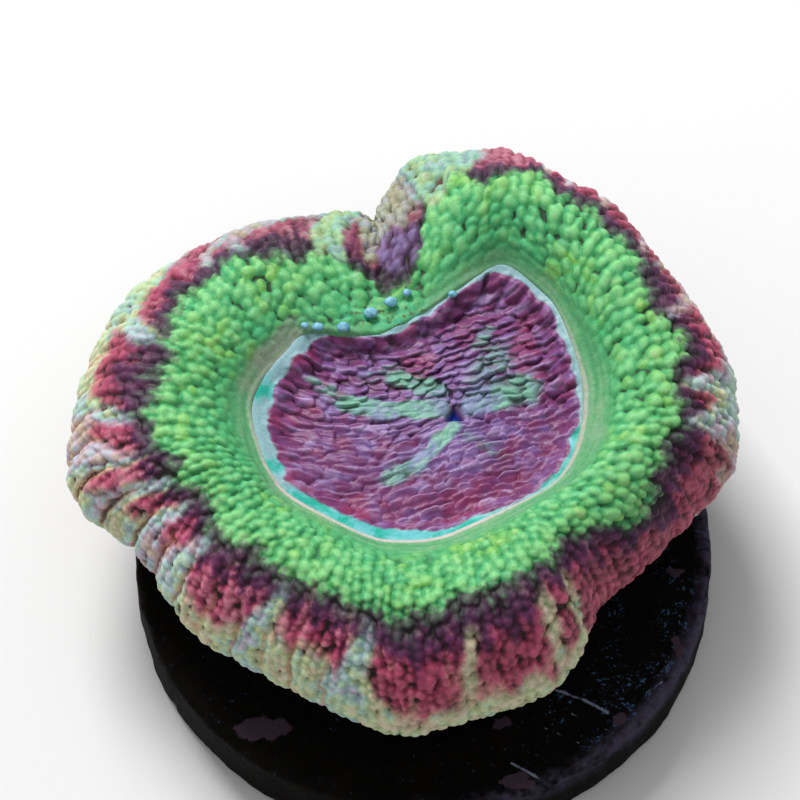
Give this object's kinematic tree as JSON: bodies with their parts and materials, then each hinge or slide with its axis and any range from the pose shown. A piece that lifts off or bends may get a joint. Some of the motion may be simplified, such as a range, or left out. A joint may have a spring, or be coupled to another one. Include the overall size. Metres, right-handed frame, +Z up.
{
  "type": "acan coral frag",
  "caption": "Large fleshy acan coral polyp, heart-shaped, with a swollen beaded mantle and a sunken oral disc, grown on a flat round frag disc.",
  "frame": {"origin": "centre of the frag disc's flat underside", "axes": "+Z up out of the oral disc, +Y towards the notch at the coral's back, +X to the right seen from the front"},
  "size_m": [0.0368, 0.0384, 0.0144],
  "materials": {
    "coral_flesh": "moist matt flesh covered in small papillae: green mantle, purple-red and cream skirt, purple oral disc with mint wedges",
    "frag_disc": "rough dark fired clay, stained and lightly dusted"
  },
  "bodies": {
    "root": {"polyp": "coral_flesh", "frag_disc": "frag_disc"}
  },
  "joints": []
}
